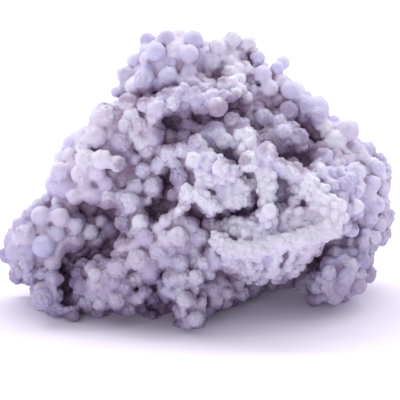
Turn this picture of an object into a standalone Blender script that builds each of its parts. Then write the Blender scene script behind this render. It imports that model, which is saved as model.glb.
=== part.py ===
"""Botryoidal chalcedony of the purple kind: one grown stone, a lobed core crusted with small fused balls.

The core is a hill of rounded masses, with ledges, walls and branches on it and caves between them. Balls
of about 3.5 mm cover it all round. Those that stand out at the front are placed one by one, and the rest
fill the gaps. The stone rests on flat places under its feet.

Lengths are in millimetres until the mesh is made, in metres, +Z up, front towards -Y, with its origin at
the middle of the underside of the stone's box.

Places are (right, up, near) as the eye in front sees them, looking down by VIEW_TILT from VIEW_DISTANCE.
Right and up are measured at the distance of the point that BASE_MIDDLE is measured from, and near is
towards the eye.
"""

import math

import bmesh
import bpy
import numpy as np
import openvdb

MM = 0.001
VIEW_TILT = math.radians(16)
VIEW_DISTANCE = 400.0
VIEW_UP = 22.0
BASE_MIDDLE = np.array([-0.247, 9.634, 0])

# How the balls grow and how finely the stone is made
SEED = 11
RADIUS_SPREAD = 0.13
OUTER_SPACING = 1.12
OUTER_STAND = (0.15, 0.8)
OUTER_CLEARANCE = 0.8
INNER_SPACING = 0.74
INNER_STAND = (-0.35, 0.3)
INNER_CLEARANCE = 0.5
CRUST_RADIUS = 1.3
CRUST_STAND = (-0.35, 0.45)
SEEN_STAND = 0.7
SEEN_AHEAD = 0.5
SEEN_BEHIND = 25.0
SURFACE_SPOTS = 160000
SURFACE_BAND = 2.0
SURFACE_ERROR = 0.05
OUTLINE_ROOM = 0.7
PIT_ROOM = 0.3
FAR_END_ROOM = 1.2
BELOW_GROUND = 0.5
CORE_STEP = 1.0
SIGHT_NEAR = 24.0
SIGHT_FAR = -34.0
SIGHT_STEP = 0.25
SLOPE_REACH = 0.5
BALL_MARGIN = 1.5
VOXEL = 0.6
TRIANGLES = 9800
LUMP_BLEND = 2.2
RIDGE_BLEND = 0.8
PIT_BLEND = 0.5
BALL_BLEND = 0.13
UNEVEN = ((11.0, 0.7), (6.5, 0.7))
PIT_UNEVEN = 0.45
PIT_UNEVEN_LENGTH = 3.5
WAVE_COUNT = 6
CORE_INSET = 1.0
FLAT_WITHIN = 0.25
STONE_COLOUR = (0.56, 0.50, 0.68, 1)
STONE_ROUGHNESS = 0.5
LOW_CORNER = np.array([-44.5, -24.5, -2.5])
HIGH_CORNER = np.array([44.5, 37.5, 57.5])

# Rounded masses of the core: middle, half sizes, radius of the balls that grow on it
LUMPS = {
    "middle": ((0, 17, -4), (22, 13, 14), 1.75),
    "base": ((-8, 5, -2), (17, 7, 13), 1.7),
    "belly": ((-7, 12, 3), (12, 10, 9), 1.7),
    "upper_middle": ((-1, 31, -4), (14, 11, 10), 1.75),
    "neck": ((-3, 40, -6), (13, 8.5, 8), 1.75),
    "crown": ((-5.6, 48.6, -7), (7.2, 5.6, 6.5), 2.0),
    "crown_right": ((6, 47.4, -9), (6, 5.8, 5.5), 1.8),
    "left_shoulder": ((-18.5, 33.4, -4), (8, 6.5, 8), 2.1),
    "shoulder_side": ((-14, 37, -1), (5, 4, 6), 1.6),
    "left_slope": ((-22, 25, -4), (7.5, 7.5, 9), 1.9),
    "left_paw": ((-29.6, 14.6, -2), (8.6, 6.2, 8), 1.9),
    "paw_underside": ((-32, 9.4, -3), (6.6, 4.4, 6), 1.7),
    "left_foot": ((-26, 3, 2), (6, 4.6, 6.5), 1.6),
    "lower_left": ((-17, 5, 5), (7, 6, 6.5), 1.5),
    "centre_foot": ((-3, 2.5, 9), (3.5, 6, 5), 1.5),
    "right_mass": ((18.5, 28, -7), (12.5, 12.5, 11), 1.7),
    "right_wall": ((30.5, 21, -8), (6.5, 12, 10), 1.8),
    "right_foot": ((27, 7, -3), (5.6, 5.6, 7.5), 1.6),
    "hood_mass": ((25, 22, 4), (6, 7, 7), 1.5),
    "curtain_mass": ((7.4, 22.6, 8), (3.2, 3.8, 5), 1.1),
    "ledge": ((15, 13.5, 8), (10, 3.2, 9), 1.1),
    "ledge_skirt": ((12, 9.6, 7), (9.5, 3.6, 8), 1.3),
    "ledge_root": ((1.6, 10, 10), (3, 3, 4), 1.3),
    "dish": ((14, 16, 9.5), (9.5, 2.4, 6), 1.35),
    "back_core": ((0, 20, -12), (22, 15, 8), 1.9),
    "back_low_left": ((-18, 11, -14), (9.5, 8, 8), 1.9),
    "back_low_middle": ((-2, 12.5, -19), (9, 8, 7), 1.7),
    "back_low_right": ((16, 12, -15), (10, 8, 8), 1.9),
    "back_left": ((-15, 25, -13), (9, 8, 7), 2.1),
    "back_middle": ((4, 27, -18), (10, 7.5, 8), 1.8),
    "back_right": ((20, 24, -15), (8, 8, 7), 2.0),
    "back_top": ((-3, 38, -14), (9, 8, 7), 1.9),
}

# Ledges, walls and branches: points along the middle, half thickness, radius of the balls that grow on it
RIDGES = {
    "shelf": (((-14, 40, 2), (-9, 41.4, 6), (-3.6, 43, 7.5), (1.5, 42, 8.5), (5.6, 42, 8)), 1.3, 1.5),
    "white_column": (((5.4, 51.6, -6), (6.8, 47.6, -3), (6.8, 44, 1), (8.8, 40, 5)), 1.8, 1.1),
    "roof": (
        ((12.6, 46.6, -8), (17.4, 43, -7), (22.6, 38.6, -6), (27.4, 34, -5), (30.6, 31, -5)), 2.6, 2.4,
    ),
    "centre_ridge": (
        ((9.4, 35, 10), (10, 32, 11.5), (14, 30, 13), (18.4, 27.4, 13), (20.4, 26, 13)), 1.9, 1.0,
    ),
    "centre_root": (((9, 33, 2), (9.6, 32.4, 8)), 2.2, 1.2),
    "pillar": (((13.4, 29, 13), (13.4, 24, 14), (13.8, 18.6, 14.5)), 1.9, 0.9),
    "hood": (((20, 26, 13), (23.4, 22.6, 14), (26.4, 19.4, 14.5), (26, 16.6, 15)), 2.4, 1.0),
    "hood_root": (((20, 26, 13), (22, 24, 6)), 2.0, 1.4),
    "lip": (
        ((3.6, 13.6, 15), (6, 12.2, 17), (10, 11.8, 18), (15, 13, 18), (20, 14.2, 17.5), (25.6, 16.2, 15)),
        1.5, 0.9,
    ),
    "arch": (((-5, 20, 12), (-2.4, 23.2, 13.5), (0, 23, 14), (3.2, 19.8, 13.5)), 1.5, 0.9),
    "branch": (((0, 32.6, 9), (0.6, 30, 12), (5, 28.4, 13), (6.6, 27.6, 13), (1, 25.6, 12.5)), 1.6, 1.0),
    "branch_root": (((2, 28, 12), (2, 27, 4)), 2.0, 1.3),
    "left_chain": (((-22.4, 32, 3), (-21.6, 30.2, 5), (-19, 30, 6), (-17, 29.2, 6.5)), 1.3, 1.7),
    "curtain": (((30.4, 31, -3), (32.6, 24, -1), (33, 16, -1), (31.6, 8, 0)), 1.6, 1.4),
    "outer_curtain": (((35, 31, -9), (36.8, 24, -8), (37, 17.6, -8), (35.6, 14, -8)), 1.4, 1.5),
    "front_column": (((-2, 7, 13), (-3.8, 2.4, 14), (-3.4, -2.4, 13.6)), 1.1, 1.2),
    "second_column": (((-1.4, 5, 13.5), (-1, -1.6, 13.5)), 1.0, 1.2),
    "back_ledge": (((-20, 17, -20), (-8, 20, -24), (4, 18.5, -26), (14, 20, -23)), 1.6, 1.5),
    "back_spur": (((9, 36, -20), (15, 31, -23), (20, 25, -22)), 1.7, 1.6),
    "back_column": (((-8, 41, -18), (-11, 33, -20), (-8, 27, -22)), 1.6, 1.5),
    "back_foot": (((6, 14, -25), (10, 9, -24), (9, 5, -22)), 1.5, 1.6),
    "flute_1": (((5, 12, 16.5), (6.6, 8, 13)), 1.1, 0.8),
    "flute_2": (((9, 11.4, 18), (10.4, 7.2, 14.4)), 0.9, 0.8),
    "flute_3": (((11.6, 11.8, 18.4), (12.2, 9.2, 16)), 0.8, 0.8),
    "flute_4": (((15.8, 12.8, 18.2), (14.4, 7.2, 15)), 1.1, 0.8),
    "flute_5": (((19.6, 13.8, 17.4), (17.4, 8.6, 14.4)), 0.8, 0.8),
    "flute_6": (((23.8, 15.2, 15.6), (21.2, 10.4, 12.8)), 1.2, 0.9),
    "hood_wall": (((17.4, 19.4, 11.5), (20, 18.4, 13), (23.4, 18, 13.4)), 2.0, 1.35),
}

# Caves and clefts, open towards the eye: right and up of points along the middle, half width, far end
PITS = {
    "under_shelf": (((-6.4, 37), (-2, 37.8), (3, 38.6), (7.6, 41)), 1.9, -3),
    "below_shelf": (((-7, 34.6), (-2, 35)), 1.6, 0),
    "under_crown": (((-15.6, 42.8), (-11.4, 42.4), (-5.6, 45)), 0.7, -8),
    "crown_hole": (((0.2, 48.6), (0.2, 47.2)), 0.7, -9),
    "beside_column": (((2.8, 46.2), (4.6, 46)), 0.7, -8),
    "crown_hollow": (((8.6, 50.8), (9.2, 50.2)), 0.7, -7),
    "under_roof": (((12.6, 41.6), (15.6, 40.8), (19, 40)), 1.3, -3.5),
    "right_hollow": (((19.8, 37.4), (22, 35), (23.6, 32.4)), 1.9, -5),
    "right_cleft": (((16.4, 31.8), (19.4, 30.6), (21, 29.4)), 1.7, -1),
    "peak_cleft": (((12.6, 38.2), (12.6, 36.2), (12.5, 32.4)), 1.1, 1),
    "peak_hollow": (((8.4, 37.4), (10.8, 37.4)), 0.8, 2),
    "branch_hole": (((5.6, 30.6), (8.4, 30.2)), 0.9, 4),
    "branch_cave": (((2, 24.6), (3.4, 23)), 1.3, 6),
    "middle_slit": (((3.6, 18.6), (10.4, 19.8)), 0.8, 4),
    "pillar_left": (((11, 23), (11, 19.6)), 0.9, 4),
    "pillar_right": (((17, 25.2), (17, 22.6)), 1.2, 7),
    "hood_pocket": (((17.8, 24.6), (18.4, 22.8)), 0.6, 8),
    "arch_hole": (((-1.6, 19.2), (0.4, 17.8)), 1.5, 4),
    "upper_left_cave": (((-6.8, 26), (-6.2, 23.6)), 1.7, 0),
    "left_middle_cave": (((-9.4, 19.4), (-8, 20.4), (-6, 22)), 1.9, 0),
    "paw_cleft": (((-17.4, 20.2), (-17, 15.4), (-18.6, 11.8)), 1.9, -1),
    "paw_top_cave": (((-24, 20.2), (-17.4, 20.2)), 1.6, -2),
    "paw_under_cave": (((-26, 11.6), (-21, 10.6)), 1.6, 0),
    "left_low_cave": (((-27, 7), (-26.4, 2.4)), 1.8, 0),
    "left_side_cave": (((-24.6, 8.6), (-23.6, 4.4)), 1.0, 2),
    "belly_hole": (((-7, 7.6), (-6.8, 7.3)), 0.6, 6),
    "foot_cave": (((-9, 1.4), (-6.2, 0.4)), 1.5, 3),
    "base_recess": (((-24, -2.4), (-14, -2.4), (-6.6, -2.6)), 2.9, 3),
    "small_left_hole": (((-15, 14.8), (-14.6, 14.2)), 0.6, 2),
    "small_middle_hole": (((0.4, 12.2), (0.8, 11.8)), 0.7, 7),
    "under_lip_hole": (((3.6, 7), (7, 6.8)), 0.9, 6),
    "right_cave": (((24.6, 11), (22.6, 8.4)), 1.5, -8),
    "right_small_hole": (((31, 17.7), (31, 17.2)), 0.6, -5),
    "shoulder_hole": (((-15.8, 29.2), (-15.6, 28.6)), 0.5, 0),
    "undercut": (((6.4, -4), (12, -1.8), (17.6, 0.4)), 5.3, -9),
}

# Hollows of the back and sides: points along the middle, half width
HOLLOWS = {
    "back_cave": (((-9, 15, -28), (-7, 16, -18)), 2.6),
    "back_cleft": (((-3, 31, -28), (-4, 32, -17)), 2.0),
    "back_right_cave": (((14, 18, -28), (12, 18, -19)), 2.2),
    "back_left_hollow": (((-23, 19, -24), (-19, 19, -14)), 2.2),
    "back_low_hollow": (((24, 13, -26), (22, 14, -18)), 2.0),
    "crown_back_hollow": (((2, 44, -20), (1, 44, -12)), 1.8),
    "right_side_hollow": (((40, 22, -16), (33, 22, -14)), 1.8),
    "left_side_hollow": (((-34, 24, -10), (-26, 22, -12)), 2.2),
}

# The outline seen from the front: right, up
OUTLINE = (
    (-29, 30), (-29.6, 27), (-33.2, 22.6), (-37, 17.6), (-39.6, 12.8), (-39.8, 11), (-38.4, 8.4),
    (-38, 5.6), (-34.6, 4.8), (-33.4, 3.4), (-33.4, -0.4), (-30, -0.8), (-27.6, -2), (-20, -2.6),
    (-10, -3.4), (-5, -3.6), (-3, -4.4), (0, -3.8), (2.4, -0.4), (5, 0.4), (8, 1.4), (10.4, 2.8),
    (13, 3.6), (17, 4.4), (20, 3.6), (22, 1), (25, 0.4), (29, 1.6), (32.2, 4.4), (35, 6), (35.6, 8.4),
    (34.4, 11), (35, 12.4), (38, 14), (39.4, 17.6), (38, 21), (37.4, 23.6), (39.6, 27.6), (38, 30),
    (36, 32.4), (31.6, 34.4), (30.6, 36.2), (29.8, 37.8), (26.4, 38.6), (25.2, 41.6), (21, 44.8),
    (18, 47.4), (16.8, 50.4), (14.8, 50.4), (12.8, 49.4), (11.4, 51.6), (9, 54.4), (4.4, 54.8),
    (2.8, 53.2), (0, 55.2), (-4.4, 55.8), (-8, 55.2), (-11.4, 53.6), (-13, 51.6), (-13.4, 49),
    (-16.2, 46), (-18.8, 41.4), (-20.6, 41.2), (-22.6, 36.4), (-26, 34.6), (-28.4, 32.2), (-29, 30),
)

# Balls that stand out at the front: right, up, radius
SEEN_BALLS = {
    "crown": (
        (-10, 53, 1.6), (-6.4, 53.4, 1.8), (-2, 53, 2), (-8.4, 50.8, 2), (-12, 49.6, 1.6),
        (-2.6, 50.6, 2), (-10, 47.8, 1.6), (-6.4, 47.2, 2), (-5.6, 49.2, 0.9), (-2.6, 47.4, 1.8),
        (-10.6, 45.2, 2.2), (-14.2, 46, 1.8), (-16, 43.4, 1.2), (1, 51.4, 1.6), (3, 49, 2),
        (4.4, 52, 1.8), (6, 53, 1.7), (9, 52, 2), (11, 49.6, 1.6),
    ),
    "shelf": (
        (-13.8, 40.8, 1.9), (-13.8, 38.2, 1.6), (-8.4, 41, 2), (-6.4, 40, 1.5), (-10, 38.2, 1.9),
        (-3.6, 45, 1.4), (-4, 43.2, 1), (-1.4, 44.2, 1.9), (1.2, 43.4, 1.7), (3.2, 41.4, 2),
        (5.6, 44.6, 1.5), (5.6, 42.6, 1), (-3.2, 41.2, 1.8), (-4.8, 39, 1.5),
    ),
    "below_shelf": (
        (-2, 35.4, 1.9), (-6, 34.2, 1.8), (-3, 33.4, 1.6), (-9.4, 35.4, 1.9), (-12.4, 37, 1.4),
        (-12, 34.4, 1.8), (-15, 36.8, 1.4), (-15.8, 34.4, 2.1), (-18.8, 37.4, 2.3), (-20.4, 34.8, 2.3),
        (-22.4, 32.4, 1.7), (-22, 30.2, 2.1), (-19.2, 30, 2), (-16.8, 29.2, 1.7), (-10, 31.6, 1.7),
        (-12.6, 30.2, 1.4), (-10.6, 27.6, 1.7), (-13.6, 27, 1.2), (-7.6, 28.8, 1.9), (-5.6, 31.4, 1.8),
        (-3, 32, 1.6), (-4.4, 29, 1.4), (-0.4, 33, 1.4), (-0.4, 30, 1.6),
    ),
    "upper_right": (
        (14, 44, 2), (15, 47.6, 1.4), (16, 48.6, 1.5), (12.6, 46.8, 1.9), (18, 43.4, 2), (13.6, 38, 1.9),
        (17, 38.6, 2), (21.2, 38.4, 1.6), (19.4, 34, 1.8), (17, 35.4, 1.6), (15.8, 33.2, 1.5),
        (11.6, 40.8, 1.2), (9.2, 42.6, 1.5), (10, 38.4, 1.6), (6.4, 37.6, 1.6), (9.6, 34.4, 1.7),
        (9.6, 36.8, 0.9), (7.6, 33, 1), (4.4, 33.4, 1.8), (4.4, 28.4, 1.7),
    ),
    "right": (
        (11, 30, 2.1), (13.6, 30.8, 1.9), (19, 27.6, 1.4), (24, 30, 2), (25.6, 31.4, 1.8), (27, 29, 1.3),
        (29.2, 28.8, 1.6), (23.8, 26.8, 1.8), (30.4, 26.4, 2), (28, 24, 2), (30.6, 20.4, 1.4),
        (29, 18, 1.2), (27.4, 13.6, 1.8), (28.8, 35, 2.3),
    ),
    "left": (
        (-27, 27, 2), (-23.6, 26.6, 2), (-20.8, 26.8, 2), (-19, 25.2, 1.6), (-28, 24.2, 1.3),
        (-27.4, 22.2, 1.6), (-24.4, 23, 1.6), (-21.6, 23.2, 1.8), (-21.6, 21, 1.6), (-26, 19.4, 1.9),
        (-31.6, 17.6, 2.1), (-28, 17.8, 2), (-25.4, 16.6, 1.6), (-23, 15.4, 1.8), (-34, 15, 2.1),
        (-31, 13.2, 2.3), (-37.6, 10.8, 1.6), (-29.6, 10.6, 1.8), (-34, 10, 1.6), (-31.4, 7.8, 1.4),
        (-29, 5.4, 1.4), (-30.4, 2.8, 2.2), (-26.6, 8.8, 0.8), (-23.4, 7.4, 1.4), (-20, 9.2, 1.2),
        (-20.4, 6.8, 1.4), (-16.4, 7.8, 2.2), (-19.6, 4.8, 0.9), (-22.4, 4.6, 1.7), (-23, 2, 1.4),
        (-21.4, 1.4, 1.2), (-16.8, 2.6, 1.6), (-17, 5.2, 1.2), (-17.8, 11.2, 1.6), (-20, 11, 1.4),
        (-17.4, 16.2, 2.1), (-14.6, 17.2, 1.6), (-15, 12.8, 1.4), (-14.4, 1, 1.4), (-11.4, 3.4, 1.4),
        (-9.2, 3.4, 1.4), (-9.4, -1.4, 1.6), (-25.6, -0.2, 1.3),
    ),
    "centre": (
        (-15.6, 24.2, 2), (-12.8, 23.4, 1.8), (-13.4, 20.6, 2.3), (-11, 21.4, 1), (-9, 24, 2),
        (-4, 26, 1.9), (-4.4, 23.2, 1.4), (-11.4, 17, 1.8), (-10.8, 14, 1.8), (-6.6, 17.4, 1.4),
        (-4.4, 14.6, 2), (-0.6, 14.6, 1.9), (-12.6, 11, 2.1), (-8, 12, 1.8), (-10, 7.6, 2.3),
        (-4, 9.6, 1.8), (-5, 5.8, 1.7), (-1.4, 6, 1.5), (1, 9.6, 1.3), (-3.4, 2, 1.7), (-3.4, -2.4, 1.4),
        (-1, -1.4, 1.5), (3, 2.6, 1.5), (1.4, 1, 1.5), (5, 3.8, 1.2), (4.6, 2, 1.2), (10, 5.6, 1.9),
        (8, 3.8, 1.5), (14.4, 5.6, 1.4), (17.4, 6.2, 1.5), (13.6, 19.6, 1.5),
    ),
    "lower_right": (
        (21, 6.6, 1.4), (23.6, 2.8, 1.5), (28.4, 9.8, 1.2), (26, 7.4, 1.6), (28.8, 6.6, 1.7),
        (30.8, 5.4, 1.6), (31.6, 9.4, 1.7), (27, 3.6, 1.6),
    ),
}


def seen(points):
    """Points of the upright frame as (right, up, near)."""
    cos, sin = math.cos(VIEW_TILT), math.sin(VIEW_TILT)
    x, y, z = np.moveaxis(points, -1, 0)
    near = z * sin - y * cos
    scale = VIEW_DISTANCE / (VIEW_DISTANCE - near)
    return np.stack([x * scale, VIEW_UP + (y * sin + z * cos - VIEW_UP) * scale, near], -1)


def upright(places):
    """(right, up, near) as points of the upright frame."""
    cos, sin = math.cos(VIEW_TILT), math.sin(VIEW_TILT)
    right, up, near = np.moveaxis(np.asarray(places, float), -1, 0)
    scale = (VIEW_DISTANCE - near) / VIEW_DISTANCE
    up = VIEW_UP + (up - VIEW_UP) * scale
    return np.stack([right * scale, up * sin - near * cos, up * cos + near * sin], -1)


def smooth_min(a, b, blend):
    """The smaller of two distances, rounded where they meet."""
    h = np.maximum(blend - np.abs(a - b), 0) / blend
    return np.minimum(a, b) - h * h * blend / 4


def lump_distance(places, middle, half_sizes):
    """Distance to an ellipsoid, close to exact near its surface."""
    half_sizes = np.array(half_sizes, float)
    offset = (places - np.array(middle, float)) / half_sizes
    reach = np.linalg.norm(offset, axis=-1)
    slope = np.linalg.norm(offset / half_sizes, axis=-1)
    return reach * (reach - 1) / np.maximum(slope, 1e-9)


def path_distance(places, path):
    """Distance to a path, in as many directions as its points have."""
    best = np.full(places.shape[:-1], np.inf)
    for start, end in zip(path, path[1:]):
        start, along = np.array(start, float), np.subtract(end, start).astype(float)
        share = np.clip((places - start) @ along / (along @ along), 0, 1)
        best = np.minimum(best, np.linalg.norm(places - start - share[..., None] * along, axis=-1))
    return best


def waves(places, length, seed):
    """A smooth uneven field, mostly from -1 to 1, with waves of about this length."""
    rng = np.random.default_rng(seed)
    total = np.zeros(places.shape[:-1])
    for _ in range(WAVE_COUNT):
        heading = rng.normal(size=3)
        heading *= 2 * math.pi / length / np.linalg.norm(heading)
        total += np.sin(places @ heading + rng.uniform(0, 2 * math.pi))
    return 2 * total / WAVE_COUNT


def outline_distance(places):
    """Distance from the outline, below zero inside it."""
    right, up = places[..., 0], places[..., 1]
    inside = np.zeros(places.shape[:-1], bool)
    for (right_a, up_a), (right_b, up_b) in zip(OUTLINE, OUTLINE[1:]):
        if up_a != up_b:
            crossing = right_a + (up - up_a) * (right_b - right_a) / (up_b - up_a)
            inside ^= ((up_a > up) != (up_b > up)) & (right < crossing)
    return np.where(inside, -1, 1) * path_distance(places[..., :2], OUTLINE)


def pit_distance(places):
    """Distance into the nearest pit's opening, below zero inside a pit."""
    nearest = np.full(places.shape[:-1], np.inf)
    for path, half_width, far_end in PITS.values():
        across = path_distance(places[..., :2], path) - half_width
        nearest = np.minimum(nearest, np.maximum(across, far_end - places[..., 2]))
    return nearest + PIT_UNEVEN * waves(places, PIT_UNEVEN_LENGTH, SEED + 1)


def core_grid():
    """Distance to the core, and the radius of the balls that grow nearby, on a coarse grid."""
    counts = np.ceil((HIGH_CORNER - LOW_CORNER) / CORE_STEP).astype(int) + 1
    axes = [LOW_CORNER[i] + CORE_STEP * np.arange(counts[i]) for i in range(3)]
    places = seen(np.stack(np.meshgrid(*axes, indexing="ij"), -1))
    distance = np.full(places.shape[:-1], np.inf)
    nearest = distance.copy()
    ball = distance.copy()
    for middle, half_sizes, radius in LUMPS.values():
        lump = lump_distance(places, middle, half_sizes)
        distance = smooth_min(distance, lump, LUMP_BLEND)
        ball = np.where(lump < nearest, radius, ball)
        nearest = np.minimum(nearest, lump)
    for number, (length, size) in enumerate(UNEVEN):
        distance = distance + size * waves(places, length, SEED + 10 * number)
    for path, half_width, radius in RIDGES.values():
        ridge = path_distance(places, path) - half_width
        distance = smooth_min(distance, ridge, RIDGE_BLEND)
        ball = np.where(ridge < nearest, radius, ball)
        nearest = np.minimum(nearest, ridge)
    for path, half_width in HOLLOWS.values():
        distance = -smooth_min(-distance, path_distance(places, path) - half_width, PIT_BLEND)
    distance = -smooth_min(-distance, pit_distance(places), PIT_BLEND)
    return np.maximum(distance, outline_distance(places) + CORE_INSET), ball


def at_points(grid, points):
    """The grid's value at points, blended between its eight neighbours."""
    spot = np.clip((points - LOW_CORNER) / CORE_STEP, 0, np.array(grid.shape) - 1.001)
    corner = spot.astype(int)
    part = spot - corner
    total = np.zeros(len(points))
    for step in np.ndindex(2, 2, 2):
        weight = np.prod(np.where(step, part, 1 - part), -1)
        total += weight * grid[tuple((corner + step).T)]
    return total


def outward_at(grid, points):
    """Unit direction away from the core at points."""
    steps = SLOPE_REACH * np.eye(3)
    slope = np.stack([at_points(grid, points + a) - at_points(grid, points - a) for a in steps], -1)
    return slope / np.maximum(np.linalg.norm(slope, axis=-1, keepdims=True), 1e-9)


def seen_balls(core):
    """Middles and radii of the balls placed one by one, each resting on what the eye sees behind it."""
    rows = np.array([row for group in SEEN_BALLS.values() for row in group], float)
    near = np.arange(SIGHT_NEAR, SIGHT_FAR, -SIGHT_STEP)
    middles = []
    for right, up, radius in rows:
        line = upright(np.stack([np.full(len(near), right), np.full(len(near), up), near], -1))
        gap = at_points(core, line)
        hits = np.flatnonzero(gap < 0)
        first = hits[0] if len(hits) else np.argmin(gap)
        middles.append(line[first] + outward_at(core, line[first:first + 1])[0] * radius * SEEN_STAND)
    return np.array(middles), rows[:, 2]


def surface_spots(core, count, rng):
    """Spots spread over the core's surface."""
    spots = rng.uniform(LOW_CORNER + 1, HIGH_CORNER - 1, (count, 3))
    spots = spots[np.abs(at_points(core, spots)) < SURFACE_BAND]
    for _ in range(4):
        spots = spots - at_points(core, spots)[:, None] * outward_at(core, spots)
    return spots[(np.abs(at_points(core, spots)) < SURFACE_ERROR) & (spots[:, 2] > -BELOW_GROUND)]


def grow_balls(core, ball):
    """Middles and radii of all the balls.

    First come those placed one by one, then an outer layer with gaps, then an inner layer that fills them.
    """
    rng = np.random.default_rng(SEED)
    middles, radii = seen_balls(core)
    placed = seen(middles)
    placed_radii = radii.copy()
    layers = (
        (OUTER_SPACING, OUTER_STAND, OUTER_CLEARANCE),
        (INNER_SPACING, INNER_STAND, INNER_CLEARANCE),
    )
    for spacing, stand, clearance in layers:
        spots = surface_spots(core, SURFACE_SPOTS, rng)
        cells = np.rint((spots - LOW_CORNER) / CORE_STEP).astype(int)
        radius = ball[tuple(cells.T)] * (1 + RADIUS_SPREAD * rng.normal(size=len(spots)))
        sunk = CRUST_RADIUS - ball[tuple(cells.T)]
        share = rng.uniform(size=len(spots))
        low = np.where(sunk > 0, CRUST_STAND[0] - sunk, stand[0])
        high = np.where(sunk > 0, CRUST_STAND[1] - sunk, stand[1])
        middle = spots + outward_at(core, spots) * (radius * (low + share * (high - low)))[:, None]
        place = seen(middle)
        behind = place - np.outer(FAR_END_ROOM * radius, (0, 0, 1))
        clear = (outline_distance(place) < -OUTLINE_ROOM * radius) & (pit_distance(behind) > PIT_ROOM * radius)
        for i in np.flatnonzero(clear):
            room = np.linalg.norm(middles - middle[i], axis=1) > spacing * (radii + radius[i])
            if not room.all():
                continue
            aside = np.linalg.norm(placed[:, :2] - place[i, :2], axis=1)
            ahead = place[i, 2] - placed[:, 2]
            hides = (aside < clearance * (placed_radii + radius[i])) & (ahead > -SEEN_AHEAD)
            if np.any(hides & (ahead < SEEN_BEHIND)):
                continue
            middles = np.vstack([middles, middle[i]])
            radii = np.append(radii, radius[i])
    return middles, radii


def fine_core(core, voxel):
    """The core's distance on a fine grid, and the grid's axes."""
    low = LOW_CORNER.copy()
    low[2] = -2.5 * voxel
    counts = np.ceil((HIGH_CORNER - low) / voxel).astype(int)
    axes = [low[i] + voxel * np.arange(counts[i]) for i in range(3)]
    distance = np.empty(counts, np.float32)
    for i, x in enumerate(axes[0]):
        slab = np.stack(np.meshgrid([x], axes[1], axes[2], indexing="ij"), -1)
        distance[i] = at_points(core, slab.reshape(-1, 3)).reshape(counts[1:])
    return distance, axes


def add_balls(distance, axes, middles, radii):
    """Join balls to what the grid holds."""
    low = np.array([axis[0] for axis in axes])
    voxel = axes[0][1] - axes[0][0]
    for middle, radius in zip(middles, radii):
        reach = radius + BALL_MARGIN
        first = np.maximum(((middle - reach - low) / voxel).astype(int), 0)
        last = np.minimum(((middle + reach - low) / voxel).astype(int) + 2, distance.shape)
        if np.any(first >= last):
            continue
        block = tuple(slice(a, b) for a, b in zip(first, last))
        near = np.stack(np.meshgrid(*[axes[i][block[i]] for i in range(3)], indexing="ij"), -1)
        gap = np.linalg.norm(near - middle, axis=-1) - radius
        distance[block] = smooth_min(distance[block], gap, BALL_BLEND * radius ** 2)


def surface_mesh(distance, axes):
    """The grid's surface, cut off flat at the ground, as points in millimetres and quads."""
    grid = openvdb.FloatGrid(3.0)
    grid.copyFromArray(np.maximum(distance, -axes[2]).astype(np.float32))
    points, quads = grid.convertToQuads(isovalue=0.0)
    voxel = axes[0][1] - axes[0][0]
    return largest_piece(points * voxel + np.array([axis[0] for axis in axes]), quads)


def largest_piece(points, quads):
    """The quads that hang together in the largest piece, with their points."""
    label = np.arange(len(points))
    while True:
        lowest = label[quads].min(1)
        changed = label.copy()
        for corner in range(quads.shape[1]):
            np.minimum.at(changed, quads[:, corner], lowest)
        changed = changed[changed]
        if np.array_equal(changed, label):
            break
        label = changed
    names, counts = np.unique(label, return_counts=True)
    quads = quads[label[quads[:, 0]] == names[np.argmax(counts)]]
    used, quads = np.unique(quads, return_inverse=True)
    return points[used], quads.reshape(-1, 4)


def mesh_of(name, points, faces):
    mesh = bpy.data.meshes.new(name)
    mesh.from_pydata(((points - BASE_MIDDLE) * MM).tolist(), [], faces.tolist())
    return mesh


def mend(mesh):
    """Flatten the feet, and close the few places where fewer triangles make the surface touch itself."""
    shape = bmesh.new()
    shape.from_mesh(mesh)
    bmesh.ops.triangulate(shape, faces=shape.faces)
    while True:
        pinched = {corner for edge in shape.edges if len(edge.link_faces) != 2 for corner in edge.verts}
        pinched |= {corner for corner in shape.verts if not corner.is_manifold}
        if not pinched:
            break
        bmesh.ops.delete(shape, geom=list(pinched), context="VERTS")
        rim = [edge for edge in shape.edges if len(edge.link_faces) == 1]
        filled = bmesh.ops.holes_fill(shape, edges=rim, sides=0)["faces"]
        bmesh.ops.triangulate(shape, faces=filled)
    for corner in shape.verts:
        if corner.co.z < FLAT_WITHIN * MM:
            corner.co.z = 0
    shape.to_mesh(mesh)
    shape.free()


def stone_material():
    material = bpy.data.materials.new("chalcedony")
    material.use_nodes = True
    shader = material.node_tree.nodes["Principled BSDF"]
    shader.inputs["Base Color"].default_value = STONE_COLOUR
    shader.inputs["Roughness"].default_value = STONE_ROUGHNESS
    shader.inputs["Metallic"].default_value = 0
    return material


def main():
    for thing in list(bpy.data.objects):
        bpy.data.objects.remove(thing)
    core, ball = core_grid()
    middles, radii = grow_balls(core, ball)
    distance, axes = fine_core(core, VOXEL)
    add_balls(distance, axes, middles, radii)
    points, quads = surface_mesh(distance, axes)
    stone = bpy.data.objects.new("chalcedony", mesh_of("chalcedony", points, quads))
    bpy.context.scene.collection.objects.link(stone)
    fewer = stone.modifiers.new("fewer_triangles", "DECIMATE")
    fewer.ratio = TRIANGLES / (2 * len(quads))
    stone.data = bpy.data.meshes.new_from_object(stone.evaluated_get(bpy.context.evaluated_depsgraph_get()))
    stone.modifiers.clear()
    mend(stone.data)
    stone.data.shade_smooth()
    stone.data.materials.append(stone_material())


if __name__ == "__main__":
    main()
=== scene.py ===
"""The look of a cluster of purple botryoidal chalcedony, and the camera, light and floor it is seen with.

The stone's form is the solid's, grown again from nearly the same values but much finer, with a grain
on its balls. Small beads sit on its rough places.
"""

import math

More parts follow.
